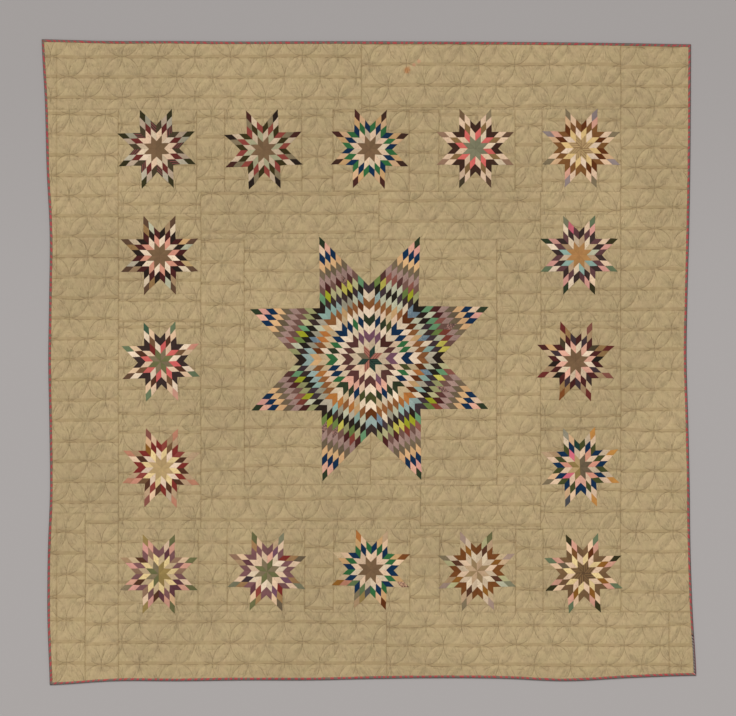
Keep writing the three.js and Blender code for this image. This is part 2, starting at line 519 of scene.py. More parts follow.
plainCloths = {  # colour in 0 to 255
    "brown": (116, 90, 64), "oliveGrey": (110, 94, 72), "fawnBrown": (113, 85, 57),
    "cocoa": (142, 110, 87), "cocoaBrown": (111, 80, 54), "mauveBrown": (92, 67, 50),
    "khakiBrown": (127, 99, 62), "khaki": (178, 149, 104), "oliveTan": (152, 126, 89),
    "fawn": (158, 129, 96), "brownTan": (153, 118, 78), "peach": (216, 182, 147),
    "peachTan": (199, 161, 122), "apricot": (205, 163, 116), "honey": (190, 151, 104),
    "salmon": (203, 149, 127), "salmonTan": (202, 139, 116), "pink": (204, 146, 132),
    "hotPink": (202, 102, 116), "coral": (206, 98, 91), "coralTan": (183, 126, 99),
    "red": (134, 62, 53), "brick": (120, 58, 46), "redClay": (132, 80, 68), "redBrown": (119, 43, 37),
    "crimson": (98, 41, 36), "maroon": (68, 36, 29), "wine": (72, 33, 30),
    "roseMaroon": (108, 78, 68), "plum": (118, 80, 80), "plumSlate": (92, 60, 60),
    "purple": (113, 76, 91), "purpleWine": (93, 56, 61), "nearBlack": (38, 28, 22),
    "black": (32, 27, 20), "plumBlack": (60, 46, 49), "aubergine": (56, 42, 38),
    "aubergineBrown": (86, 52, 47), "darkBrown": (60, 38, 28), "chestnut": (81, 49, 33),
    "chocolate": (120, 79, 42), "rust": (114, 67, 31), "darkRust": (92, 47, 18),
    "rustBrown": (133, 85, 47), "orangeBrown": (168, 106, 52), "orangeTan": (168, 122, 73),
    "orange": (184, 129, 65), "gold": (134, 87, 34), "darkOlive": (50, 46, 24), "olive": (55, 46, 20),
    "oliveBrown": (69, 58, 40), "oliveKhaki": (144, 121, 72), "moss": (67, 70, 36),
    "green": (47, 98, 55), "grassGrey": (92, 109, 70), "darkGreen": (44, 54, 34),
    "pine": (28, 56, 48), "forest": (103, 102, 65), "sage": (120, 118, 92),
    "sageKhaki": (144, 142, 96), "sageYellow": (172, 165, 121), "teal": (99, 112, 82),
    "darkTeal": (57, 80, 60), "aqua": (136, 162, 149), "aquaGreen": (98, 138, 98),
    "leaf": (100, 117, 60), "chartreuse": (150, 152, 36), "navy": (15, 42, 69), "slate": (76, 76, 78),
    "lilacGrey": (136, 121, 117), "lilac": (160, 135, 119),
}
printedCloths = {  # colour, print, and the print's own colour
    "brownStripe": ((134, 104, 68), "stripe", (74, 54, 38)),
    "tanStripe": ((186, 156, 110), "stripe", (122, 94, 60)),
    "taupe": ((104, 89, 68), "sprig", (84, 70, 54)),
    "greyKhaki": ((126, 111, 84), "sprig", (104, 90, 66)),
    "khakiTan": ((181, 151, 118), "sprig", (154, 124, 94)),
    "brownGold": ((142, 110, 70), "sprig", (112, 82, 50)),
    "cream": ((213, 191, 161), "sprig", (168, 140, 112)),
    "paleCream": ((228, 204, 176), "sprig", (190, 160, 134)),
    "shell": ((216, 185, 154), "sprig", (182, 140, 114)),
    "lilacShell": ((221, 195, 168), "sprig", (178, 142, 126)),
    "taupeCream": ((196, 173, 144), "sprig", (160, 134, 108)),
    "sandCream": ((190, 165, 128), "sprig", (158, 130, 96)),
    "sageCream": ((160, 155, 122), "sprig", (134, 128, 98)),
    "greyShell": ((173, 152, 129), "sprig", (146, 124, 104)),
    "peachKhaki": ((220, 194, 138), "sprig", (186, 150, 100)),
    "figuredMauve": ((150, 112, 100), "vine", (46, 38, 36)),
    "figuredTan": ((186, 148, 118), "vine", (70, 38, 34)),
    "yellowPeach": ((211, 178, 120), "sprig", (182, 144, 88)),
    "paleYellow": ((224, 197, 141), "sprig", (190, 156, 100)),
    "salmonShell": ((213, 160, 137), "sprig", (182, 120, 100)),
    "coralStripe": ((178, 112, 94), "stripe", (112, 72, 60)),
    "mauve": ((154, 125, 114), "sprig", (122, 92, 88)),
    "oliveRed": ((52, 50, 40), "stripe", (134, 74, 68)),
    "darkGreenStripe": ((48, 70, 58), "stripe", (24, 38, 34)),
    "mint": ((180, 178, 150), "sprig", (148, 146, 118)),
    "yellow": ((182, 171, 78), "sprig", (148, 130, 56)),
    "lightBlue": ((142, 160, 152), "sprig", (108, 126, 124)),
    "bluePrint": ((104, 122, 132), "sprig", (170, 176, 162)),
    "grey": ((146, 139, 118), "sprig", (118, 110, 92)),
    "dove": ((172, 161, 139), "sprig", (144, 132, 112)),
}
cloths = {name: (tone, "plain", tone) for name, tone in plainCloths.items()} | printedCloths
prints = {"plain": 0, "sprig": 1, "stripe": 2, "vine": 3}

# Each entry is one cloth for all arms, two for even and odd arms, or eight for arms 0 to 7,
# which run counterclockwise from the right; a bar offers a choice.
starColumns = (
    "x", "y", "turn", "centre", "innerA", "innerB", "sideA", "mid", "sideB", "outerA", "outerB",
    "tip",
)
smallStars = {
    "T1": (-766, 769.7, 1.5, "brown", "cream|shell",
        "paleCream shell shell taupeCream paleCream shell taupeCream shell",
        "oliveRed", "crimson", "oliveBrown",
        "grey dove grey grey dove dove dove dove", "greyShell", "darkOlive"),
    "T2": (-380.9, 766.6, 2.2, "brown", "sageCream", "taupeCream", "red olive", "olive red",
        "red olive", "taupeCream", "greyKhaki", "nearBlack|maroon"),
    "T3": (3.2, 769.1, -1.5, "brown", "cream|taupeCream", "shell", "navy green", "green navy",
        "navy green", "peachTan", "honey", "maroon|maroon|darkBrown"),
    "T4": (384.1, 770.7, 0, "sage", "cream|shell", "coral", "darkBrown", "khakiBrown",
        "darkBrown", "shell|cream", "shell",
        "mauveBrown greyKhaki brown cocoa cocoa oliveBrown mauveBrown cocoa"),
    "T5": (765.3, 772.2, -0.5, "tanStripe", "lilacShell", "yellowPeach", "chocolate",
        "darkRust chocolate chocolate darkRust chocolate chocolate darkRust darkRust",
        "chocolate darkRust darkRust chocolate chocolate chocolate darkRust darkRust",
        "peach salmon peach salmon peach salmon peach peach",
        "shell shell peachTan peachTan peachTan shell shell peachTan",
        "greyKhaki lilacGrey"),
    "L2": (-755, 384.8, 0.5, "brown", "salmonTan", "cream|paleCream|taupeCream",
        "wine nearBlack", "nearBlack wine", "wine nearBlack",
        "mint cream mint taupeCream dove cream mint cream",
        "honey fawn brownGold brownGold fawn brownGold fawn khaki", "mauveBrown"),
    "L3": (-750.7, 2.5, 2, "forest greyKhaki", "shell|paleCream",
        "coral coral redBrown coral coral coral coral coral", "aubergine",
        "cocoaBrown chestnut", "aubergine", "peach", "shell|paleCream",
        "salmonTan teal darkTeal teal mauveBrown teal salmon teal"),
    "L4": (-749.4, -381.6, -1.3, "khaki", "lilacShell", "paleYellow",
        "redBrown redBrown redBrown redBrown redBrown chestnut redBrown chestnut",
        "chestnut cocoaBrown redBrown chestnut red red chestnut redBrown",
        "red red gold redBrown cocoaBrown chestnut redBrown chestnut",
        "khakiTan khakiTan peach fawn khakiTan khakiTan taupeCream khakiTan",
        "sandCream fawn peachTan shell salmonTan peach khakiTan khakiTan",
        "khakiTan coralTan redClay coralTan coralTan redClay coralTan coralTan"),
    "R2": (758.5, 386.4, 0, "orangeTan",
        "mint cream taupeCream fawn taupeCream khakiTan aqua aqua",
        "sandCream khakiTan cream aqua aqua cream khakiTan khakiTan",
        "plumSlate aubergine", "aubergine plumSlate", "plumSlate aubergine",
        "pink pink hotPink pink pink pink pink pink",
        "shell shell cream paleCream paleCream paleCream shell shell",
        "darkOlive teal sage darkGreen teal darkGreen darkOlive teal"),
    "R3": (746.2, 2.2, -0.8, "brown", "salmonShell", "cream|paleCream|taupeCream",
        "black wine plumBlack wine nearBlack wine plumBlack wine", "wine plumBlack",
        "oliveBrown wine oliveBrown wine black wine aubergine wine",
        "brownGold fawn brownGold honey fawn brownGold fawn fawn",
        "brownGold sandCream khaki sandCream khakiTan brownGold sandCream sandCream",
        "crimson redClay crimson wine crimson rust crimson redClay"),
    "R4": (762.1, -379.1, 1.5, "taupe taupe khaki oliveKhaki khaki oliveKhaki taupe taupe",
        "salmonTan salmonTan taupeCream shell shell shell salmonShell salmonTan",
        "shell shell hotPink salmonTan hotPink salmonShell shell taupeCream",
        "navy moss pine navy moss navy navy moss",
        "moss navy navy moss navy moss moss navy",
        "navy moss moss navy moss navy navy moss",
        "shell shell peachTan fawn peachTan peachTan lilacShell shell",
        "taupeCream taupeCream cream shell shell peach shell taupeCream",
        "orange orange grey khakiTan greyKhaki slate orange orange"),
    "B1": (-758.1, -764.2, 0,
        "oliveKhaki oliveKhaki greyKhaki forest greyKhaki forest oliveKhaki oliveKhaki",
        "peachKhaki", "sandCream",
        "cocoa plum plum chestnut plum cocoa purpleWine purpleWine",
        "plum purpleWine cocoa plum chestnut plum plum purpleWine",
        "cocoa plum plum cocoa plum chestnut purpleWine plum",
        "salmon salmon salmon sandCream salmon shell salmon salmon",
        "peach shell pink pink pink pink peachTan shell",
        "forest forest oliveKhaki fawn greyKhaki oliveKhaki forest forest"),
    "B2": (-367.7, -755.4, -1.6, "greyKhaki forest", "cream|shell",
        "paleCream salmonShell shell shell cream paleCream shell shell",
        "plum plum plum plum plum purpleWine plum plum",
        "plum purple plum purpleWine plumBlack red purple purple",
        "redBrown plum plum plum plum plum redBrown plum", "shell|peach",
        "brownTan khakiTan brownTan fawn brownTan brownTan brownTan brownTan",
        "taupe sage forest cocoa sage forest taupe sage"),
    "B3": (7.2, -749.4, -1.5, "brown", "cream|shell",
        "shell shell shell shell taupeCream taupeCream shell shell",
        "navy navy green navy green navy green navy",
        "green green navy green navy grassGrey navy green",
        "green navy green navy grassGrey slate green navy",
        "peach peach peach peach sandCream greyKhaki peachTan sandCream",
        "honey honey honey honey coralTan oliveKhaki honey honey",
        "rust khakiTan orangeBrown sandCream gold fawn darkRust figuredTan"),
    "B4": (389.7, -753.6, 1.3, "oliveTan khakiTan", "cream|shell", "taupeCream", "rust",
        "gold chestnut", "rust",
        "khakiTan khakiTan taupeCream taupeCream fawn khakiTan taupeCream mint",
        "sandCream sageYellow sandCream sageYellow sageYellow khakiTan sandCream sageYellow",
        "lilac forest lilac greyKhaki lilac greyKhaki lilac sage"),
    "B5": (773.8, -761.8, 1.9, "brownStripe", "shell", "paleYellow", "fawnBrown",
        "gold darkRust chocolate taupe cocoaBrown gold gold gold", "fawnBrown", "salmon",
        "peach", "darkOlive teal"),
}
smallCells = {  # which column of the chart gives the diamond at each place of an arm
    (0, 0): "centre", (1, 0): "innerA", (0, 1): "innerB", (2, 0): "sideA", (1, 1): "mid",
    (0, 2): "sideB", (2, 1): "outerA", (1, 2): "outerB", (2, 2): "tip",
}
bigStar = {
    "x": 4.7,
    "y": 11.6,
    "turn": 0,
    "rings": [  # from the middle out
        "coralStripe darkGreenStripe coralStripe oliveGrey darkGreenStripe coralStripe "
        "darkGreenStripe darkGreenStripe",
        "shell|taupeCream|cream",
        "aubergineBrown|purple|aubergineBrown|maroon",
        "cream|shell|salmonShell|paleCream",
        "navy|darkGreen|navy|moss|navy|green",
        "shell|cream|paleCream|sandCream",
        "orangeBrown|rustBrown|darkRust|rustBrown|honey",
        "aqua|mint|cream|grey|lightBlue|bluePrint|mint|dove",
        "nearBlack|black|aubergine|plumBlack",
        "aquaGreen|leaf|mint|chartreuse|yellow|sageKhaki|yellow|sageYellow",
        "roseMaroon|brick|wine|aubergineBrown|roseMaroon|redClay",
        "mauve",
        "oliveGrey|taupe|oliveGrey",
        "apricot",
        "navy",
        "pink|salmonShell|pink|shell",
        "darkGreen",
    ],
    "figured": ((0, 6, 5), (2, 6, 4), (5, 6, 4), (5, 8, 2), (7, 5, 5)),  # arm, place along it
    # how far the sewn star has pulled from a true one, in millimetres: its middle, then the
    # inner corners and the tips, counterclockwise from the right
    "middle": (-1.8, 0.0),
    "corners": ((0, 5), (-3, 9), (-5, 7), (-5, 2), (-6, -4), (2, -5), (5, -6), (4, 1)),
    "tips": ((-2, 6), (2, 3), (-6, 3), (-5, -2), (-1, -4), (4, -4), (8, 1), (-2, 1)),
}
starShape = {
    "bigReach": 474.6 * mm,  # from the middle to a tip
    "smallReach": 154.8 * mm,
    "bigRings": 9,  # diamonds along each edge of an arm
    "smallRings": 3,
    "narrow": 0.977,  # the stars are a little narrower than they are high
    "stray": 1.3 * mm,  # how far a corner may be from its place
    "strayCells": (0.021, 0.023),
    "lift": 0.35 * mm,  # over the ground beside it
    "crown": 0.4 * mm,  # of one diamond between its seams
    "skirt": 1.3 * mm,  # the turned edge, down into the seam
    "stations": (0, 0.05, 0.2, 0.5, 0.8, 0.95),  # across one diamond
    "allowance": 9 * mm,  # of ground cloth left under a star's edge
    "toneSpread": 0.06,
    "seed": 5,
}
eighth = math.pi / 4


def placedStar(name, plan, reach, rings, chart):
    return {
        "name": "star_" + name, "x": plan["x"] * mm, "y": plan["y"] * mm,
        "turn": math.radians(plan["turn"]), "reach": starShape[reach],
        "rings": starShape[rings], "chart": chart,
    }


def starList():
    placed = [placedStar("big", bigStar, "bigReach", "bigRings", None)]
    for name, row in smallStars.items():
        chart = dict(zip(starColumns, row, strict=True))
        placed.append(placedStar(name, chart, "smallReach", "smallRings", chart))
    return placed


stars = starList()


def starPoint(star, arm, p, q):
    # Where a point of an arm lies, p and q being how far along its two edges, both 0 to 1.
    edge = star["reach"] / (2 * math.cos(eighth / 2))
    x = edge * (p * math.cos(arm * eighth) + q * math.cos((arm + 1) * eighth))
    y = edge * (p * math.sin(arm * eighth) + q * math.sin((arm + 1) * eighth))
    turn = star["turn"]
    placed = [
        star["x"] + starShape["narrow"] * (x * math.cos(turn) - y * math.sin(turn)),
        star["y"] + x * math.sin(turn) + y * math.cos(turn),
    ]
    if not star["chart"]:
        near, far = (bigStar["corners"][(arm + k) % 8] for k in (0, 1))
        pulls = (bigStar["middle"], near, far, bigStar["tips"][arm % 8])
        for axis in (0, 1):
            pull = betweenCorners(p, q, *(place[axis] for place in pulls))
            placed[axis] = placed[axis] + mm * pull
    return placed


def starOutline(star):
    return [starPoint(star, arm, 1, q) for arm in range(8) for q in (0, 1)]


def starDepth(x, y):
    # How far inside a star's outline a point lies, and negative outside.
    depth = np.full(np.shape(x), -1.0)
    for star in stars:
        near = np.hypot(x - star["x"], y - star["y"]) < star["reach"] + 0.03
        if not near.any():
            continue
        px = x[near]
        py = y[near]
        inside = np.zeros(px.shape, bool)
        closest = np.ones(px.shape)
        corners = starOutline(star)
        for (x0, y0), (x1, y1) in zip(corners, corners[1:] + corners[:1]):
            dx = x1 - x0
            dy = y1 - y0
            share = np.clip(((px - x0) * dx + (py - y0) * dy) / (dx**2 + dy**2), 0, 1)
            closest = np.minimum(closest, np.hypot(px - x0 - share * dx, py - y0 - share * dy))
            crosses = (y0 > py) != (y1 > py)
            inside ^= crosses & (px < x0 + (py - y0) * dx / (dy or 1e-9))
        depth[near] = np.maximum(depth[near], np.where(inside, closest, -closest))
    return depth


def levelHeight(x, y):
    # The top's height where no quilting shapes it.
    return quilting["patch"] + uneven("level", x, y)


def quiltHeight(x, y, a, b):
    # The quilted top's height, a and b being the steps of the quilting there.
    upRight = 0.5 + (x + y) / (4 * outline["halfWidth"])
    gap = lineDistance(a, b) * quilting["up"]
    flatBottom = quilting["round"]
    rise = 1 - np.exp(-(np.sqrt(gap**2 + flatBottom**2) - flatBottom) / quilting["slope"])
    crown = quilting["crown"] + quilting["growth"] * upRight
    z = quilting["stitch"] + (crown - quilting["stitch"]) * rise * (1 + uneven("puff", x, y))
    fromRow = np.abs(b - np.round(b)) * quilting["up"]
    band = 1 - ease(fromRow, quilting["rowBottom"], quilting["rowTop"])
    z = z - quilting["rowTrough"] * (quilting["rowShare"] + uneven("trough", x, y)) * band

    # puckers fan up and down from the crossings, and are stronger towards the upper right
    bend = quilting["bundling"] / math.pi * np.sin(math.pi * a) * np.cos(math.pi * b)
    bundled = (a - bend) * quilting["across"]
    low, growth = quilting["puckerStrength"]
    strong = (low + growth * upRight) * (1 - band)
    for kind in ("narrowPuckers", "widePuckers"):
        z = z + strong * uneven(kind, bundled, y)
    return z + uneven("ripples", x, y) + uneven("level", x, y)


# The ground, cut along its real seams

# Millimetres, "edge" being the quilt's own edge. The quilting starts afresh in every patch: each
# has its lowest and highest row, and a place across where circles cross on the lowest.
seamColumns = ("left", "right", "bottom", "top", "lowRow", "highRow", "crossing")
seams = {
    "centre_left": (-449, 6, -444, 444, -375, 401, -364),
    "centre_right": (6, 462, -444, 444, -348, 372, 136),
    "frame_top_a": (-606, 36, 444, 614, 468, 538, -310),
    "frame_top_b": (36, 620, 444, 614, 508, 583, 81),
    "frame_bottom_a": (-606, 186, -602, -444, -567, -492, -242),
    "frame_bottom_b": (186, 620, -602, -444, -587, -513, 400),
    "frame_left": (-606, -449, -444, 444, -390, 436, -528),
    "frame_right": (462, 620, -444, 444, -408, 398, 541),
    "border_top_a": ("edge", -26, 912, "edge", 956, 1102, -500),
    "border_top_b": (-26, 909, 912, "edge", 924, 1075, 134),
    "border_left": ("edge", -904, -545, 912, -504, 895, -1015),
    "border_left_foot_a": ("edge", -1023, "edge", -545, -1086, -609, -1090),
    "border_left_foot_b": (-1023, -904, "edge", -545, -1091, -575, -964),
    "border_bottom_a": (-904, 64, "edge", -903, -1085, -938, -435),
    "border_bottom_b": (64, 1083, "edge", -903, -1092, -952, 76),
    "border_right": (909, "edge", -903, "edge", -829, 1140, 1030),
    "border_right_foot": (1083, "edge", "edge", -903, -1094, -946, 1126),
}
starRows = {  # where the strips of star blocks and the sashes between them are cut and quilted
    "topSeams": (-904, -621, -520, -242, -130, 145, 253, 527, 625, 909),
    "bottomSeams": (-904, -616, -512, -232, -128, 148, 256, 530, 628, 909),
    "leftSeams": (-602, -523, -232, -137, 144, 246, 535, 614),
    "rightSeams": (-602, -524, -236, -138, 146, 242, 532, 614),
    "top": (614, 912),
    "bottom": (-903, -602),
    "left": (-904, -606),
    "right": (620, 909),
    "topQuilting": (716, 738, 735, 742, 762, 760, 748, 709, 727),
    "bottomQuilting": (-795, -797, -799, -814, -792, -775, -797, -819, -815),
    "leftQuilting": (-565, -400, -186, -22, 221, 372, 569),
    "rightQuilting": (-538, -387, -193, -20, 186, 339, 547),
}
ground = {
    "spacingAcross": 3.15 * mm,
    "spacingUp": 4.6 * mm,
    "seamDip": 0.45 * mm,
    "seamWidth": 2.2 * mm,
    "seamShade": 1.5 * mm,  # how far from a seam its painted shade reaches
    "levelShade": 0.3,  # of the painted shade where a seam runs across
    "tuck": 0.4 * mm,  # how far the cloth turns under at a seam
    "nearSeam": 1.3 * mm,
    "seamStray": 1.3 * mm,
    "strayCells": (0.14, 0.01),  # along a seam, and from one seam to the next
    "calming": (-10 * mm, 2 * mm),  # depth inside a star over which the quilting dies away
    "hollow": 1.1 * mm,  # how much lower the ground lies under a star
    "hollowing": (1 * mm, 7 * mm),  # and the depth over which it gets there
    "rimWidth": 16 * mm,
    "tuckDrop": 0.9 * mm,
    "tuckLeast": 1.05 * mm,
    "leastArea": 0.3,  # of a patch's rectangle, where a star covers much of it
    "seed": 31,
}
selvages = {  # narrow strips let in along the left edge show as one more seam: X, from Y, to Y
    "upperLeft": (-1127 * mm, 0.30, 1.15),
    "lowerLeft": (-1127 * mm, -1.15, -0.545),
}


def groundPatches():
    patches = {
        name: dict(zip(seamColumns, row, strict=True)) for name, row in seams.items()
    }
    for patch in patches.values():
        rise = patch.pop("highRow") - patch["lowRow"]
        patch["pitch"] = rise / max(1, round(rise * mm / quilting["up"]))
    for side in ("top", "bottom", "left", "right"):
        cuts = starRows[side + "Seams"]
        upright = side in ("left", "right")
        for k, (start, end) in enumerate(zip(cuts, cuts[1:])):
            isBlock = k % 2 == (1 if upright else 0)
            name = f"{'block' if isBlock else 'sash'}_{side}_{k // 2 + 1}"
            low, high = starRows[side]
            if upright:
                patch = {"left": low, "right": high, "bottom": start, "top": end}
            else:
                patch = {"left": start, "right": end, "bottom": low, "top": high}
            patch["crossing"] = (patch["left"] + patch["right"]) / 2
            patch["lowRow"] = starRows[side + "Quilting"][k]
            patch["pitch"] = quilting["up"] / mm
            patches[name] = patch
    for k, patch in enumerate(patches.values()):
        patch["lattice"] = {
            "row": patch.pop("lowRow") * mm,
            "up": patch.pop("pitch") * mm,
            "crossing": patch.pop("crossing") * mm,
            "shift": 14 * k,  # even, and far enough that no two patches crease alike
        }
    return patches


def edgeLine(side, along):
    # Where the top's own edge runs, at a height up the quilt or a place across it.
    inset = outline["edgeInset"]
    axis = 0 if side in ("left", "right") else 1
    start = edgePoint(side, 0, inset)[1 - axis] - middle[1 - axis]
    end = edgePoint(side, 1, inset)[1 - axis] - middle[1 - axis]
    return edgePoint(side, (along - start) / (end - start), inset)[axis] - middle[axis]


def rimDistance(x, y):
    # How far inside the binding's inner edge a point lies.
    fromEdge = np.minimum(
        np.minimum(x - edgeLine("left", y), edgeLine("right", y) - x),
        np.minimum(y - edgeLine("bottom", x), edgeLine("top", x) - y),
    )
    return fromEdge - (outline["rimInset"] - outline["edgeInset"])


def seamLine(side, place, along):
    # Where one side of a patch runs: the quilt's edge, or a seam that strays a little.
    if place == "edge":
        return edgeLine(side, along)
    across = np.full_like(along, place * mm)
    stray = softNoise(along, across, *ground["strayCells"], ground["seed"])
    return across + ground["seamStray"] * stray


def stationsAlong(length, spacing):
    # Even steps, with a close one at each seam and the tuck beyond it.
    count = max(2, round((length - 2 * ground["nearSeam"]) / spacing))
    inner = np.linspace(ground["nearSeam"], length - ground["nearSeam"], count + 1)
    return np.concatenate([[-ground["tuck"], 0], inner, [length, length + ground["tuck"]]])


def addGrid(name, columns, rows):
    bpy.ops.object.select_all(action="DESELECT")
    bpy.ops.mesh.primitive_grid_add(x_subdivisions=columns, y_subdivisions=rows, size=2)
    sheet = bpy.context.object
    sheet.name = name
    sheet.data.name = name
    count = len(sheet.data.vertices)
    places = np.empty(count * 3)
    sheet.data.vertices.foreach_get("co", places)
    places = places.reshape(-1, 3)
    i = np.rint((places[:, 0] + 1) / 2 * columns).astype(int)
    j = np.rint((places[:, 1] + 1) / 2 * rows).astype(int)
    return sheet, i, j


def placePoints(sheet, x, y, z):
    points = np.stack([x, y, z], 1)
    sheet.data.vertices.foreach_set("co", points.ravel())
    sheet.data.update()


def setUv(sheet, u, v):
    # One value to a vertex, written to every corner that uses it.
    corners = np.empty(len(sheet.data.loops), int)
    sheet.data.loops.foreach_get("vertex_index", corners)
    layer = sheet.data.uv_layers[0]
    layer.data.foreach_set("uv", np.stack([u[corners], v[corners]], 1).ravel())


def deleteFaces(sheet, chosen):
    bpy.ops.object.mode_set(mode="EDIT")
    bpy.ops.mesh.select_mode(type="FACE")
    bpy.ops.mesh.select_all(action="DESELECT")
    bpy.ops.object.mode_set(mode="OBJECT")
    sheet.data.polygons.foreach_set("select", chosen)
    bpy.ops.object.mode_set(mode="EDIT")
    bpy.ops.mesh.delete(type="FACE")
    bpy.ops.object.mode_set(mode="OBJECT")


def flipFaces():
    bpy.ops.object.mode_set(mode="EDIT")
    bpy.ops.mesh.select_all(action="SELECT")
    bpy.ops.mesh.flip_normals()
    bpy.ops.object.mode_set(mode="OBJECT")


def faceCorners(sheet):
    corners = np.empty(len(sheet.data.polygons) * 4, int)
    sheet.data.polygons.foreach_get("vertices", corners)
    return corners.reshape(-1, 4)


def addLayer(sheet, name, kind, domain, values):
    layer = sheet.data.attributes.new(name, kind, domain)
    layer.data.foreach_set("value" if kind == "FLOAT" else "color", values.ravel())


def nominalPlace(side, place):
    # Where one side of a patch would run if no seam or edge strayed.
    if place != "edge":
        return place * mm
    reach = outline["halfWidth" if side in ("left", "right") else "halfLength"]
    return reach if side in ("right", "top") else -reach


def nearness(distance, width):
    # 1 at a seam and beyond it, and dying away on this side of it.
    return np.exp(-np.maximum(distance, 0) / width)


def addPatch(name, plan):
    nominal = {side: nominalPlace(side, plan[side]) for side in ("left", "right", "bottom", "top")}
    width = nominal["right"] - nominal["left"]
    length = nominal["top"] - nominal["bottom"]
    across = stationsAlong(width, ground["spacingAcross"])
    up = stationsAlong(length, ground["spacingUp"])
    patch, i, j = addGrid(name, len(across) - 1, len(up) - 1)
    s = across[i] / width
    t = up[j] / length
    x = nominal["left"] + s * width
    y = nominal["bottom"] + t * length
    for _ in range(3):
        left, right = (seamLine(side, plan[side], y) for side in ("left", "right"))
        bottom, top = (seamLine(side, plan[side], x) for side in ("bottom", "top"))
        x = left + s * (right - left)
        y = bottom + t * (top - bottom)
    a, b = patchSteps(x, y, plan["lattice"])
    z = quiltHeight(x, y, a, b)
    depth = starDepth(x, y)
    level = levelHeight(x, y)
    z = z + (level - z) * ease(depth, *ground["calming"])
    z = quilting["rim"] + (z - quilting["rim"]) * ease(rimDistance(x, y), 0, ground["rimWidth"])

    # every seam is sunk, and painted shade darkens it, most where it runs up the quilt
    fromSides = np.minimum(s, 1 - s) * width
    fromEnds = np.minimum(t, 1 - t) * length
    fromSeam = np.minimum(fromSides, fromEnds)
    z = z + (level - ground["seamDip"] - z) * nearness(fromSeam, ground["seamWidth"])
    shade = ground["seamShade"]
    seamShadeMask = np.maximum(
        nearness(fromSides, shade), ground["levelShade"] * nearness(fromEnds, shade)
    )
    # the selvages are sunk and darkened with painted shade in the same way
    for seamX, low, high in selvages.values():
        here = (y > low) & (y < high)
        z = z - ground["seamDip"] * here * np.exp(-(((x - seamX) / ground["seamWidth"]) ** 2))
        seamShadeMask = np.maximum(seamShadeMask, here * nearness(np.abs(x - seamX), shade))
    z = np.maximum(z - ground["hollow"] * ease(depth, *ground["hollowing"]), quilting["least"])
    tucked = np.maximum(z - ground["tuckDrop"], ground["tuckLeast"])
    z = np.where(fromSeam < 0, tucked, z)
    placePoints(patch, x, y, z)
    setUv(patch, a, b)
    addLayer(patch, "paintedSeamShade", "FLOAT", "POINT", seamShadeMask)
    hidden = depth[faceCorners(patch)].min(1) > starShape["allowance"]
    if hidden.any():
        deleteFaces(patch, hidden)
    bpy.ops.object.shade_smooth()
    flat = (float(x.max() - x.min()), float(y.max() - y.min()))
    area = flat[0] * flat[1]
    return patch, flat, max(ground["leastArea"] * area, area * (1 - hidden.mean()))


tanGround = {
    "tone": (180, 158, 118),
    "paintedShadeTint": (0.56, 0.48, 0.37),  # what the cloth's colour is multiplied by, for painted shade
    "thread": (206, 188, 152),
    "threads": 1300.0,
}
stains = {  # an orange spot and two pinkish marks near the top
    "orangeSpot": {
        "at": (0.1375, 1.0535), "size": 15 * mm, "strength": 0.75, "colour": (176, 114, 64),
    },
    "pinkMarkLeft": {
        "at": (0.162, 1.073), "size": 8 * mm, "strength": 0.6, "colour": (194, 134, 104),
    },
    "pinkMarkRight": {
        "at": (0.180, 1.086), "size": 9 * mm, "strength": 0.6, "colour": (194, 134, 104),
    },
}


def groundMaterial():
    material, shader, place = newMaterial("tanGround")
    steps = readUv()
    lines = useGroup(stitches, Vector=steps)
    drawn = useGroup(gathers, Vector=steps)
    threads = useGroup(weave, Vector=place, Threads=tanGround["threads"])
    aged = useGroup(age, Color=(*linear(tanGround["tone"]), 1), Vector=place, Amount=1.0)
    creases = useGroup(puckers, Vector=place)["Height"]

    # painted shade darkens the quilted lines, the bands along the rows, the creases and folds,
    # and the sunk seams, and the thread is a little paler than the cloth
    line = times(lines["Line"], drawn["Shown"])
    colour = aged["Color"]
    for mask, strength in (
        (line, 0.8), (drawn["Band"], 0.38), (drawn["Crease"], 0.27), (drawn["Fold"], 0.6),
        (readLayer("paintedSeamShade"), 0.6),
    ):
        colour = blendColours("MULTIPLY", times(mask, strength), colour, tanGround["paintedShadeTint"])
    paler = times(lines["Stitch"], 0.6)
    colour = blendColours("MIX", paler, colour, linear(tanGround["thread"]))
    colour = weaveTone(threads, colour, spread=0.06)
    for spot in stains.values():
        away = vectorCalc("DISTANCE", place, (*spot["at"], 4 * mm))["Value"]
        away = addTo(noise(place, 160.0), spot["size"], away)
        mask = fade(away, spot["size"] * 0.9, spot["size"] * 1.6, spot["strength"], 0.0)
        colour = blendColours("MIX", mask, colour, linear(spot["colour"]))
    layers = (
        (lines["Stitch"], 0.25 * mm), (line, -0.8 * mm), (drawn["Crease"], -0.85 * mm),
        (drawn["Fold"], -0.8 * mm), (creases, 0.9 * mm), (threads["Height"], 0.03 * mm),
    )
    rough = fade(creases, 0.6, 1.4, 0.84, 0.95)
    finishCloth(shader, colour, rough, gloss=0.25, layers=layers)
    fillSockets(shader, {"Sheen Weight": 0.08, "Sheen Roughness": 0.5})
    return material


tanCloth = groundMaterial()
laidPatches = {}
for patchName, patchPlan in groundPatches().items():
    patch, patchFlat, patchArea = addPatch(patchName, patchPlan)
    patch.data.materials.append(tanCloth)
    laidPatches[patchName] = (patch, patchFlat, patchArea)
print("ground pieced from", len(laidPatches), "patches")


# The stars

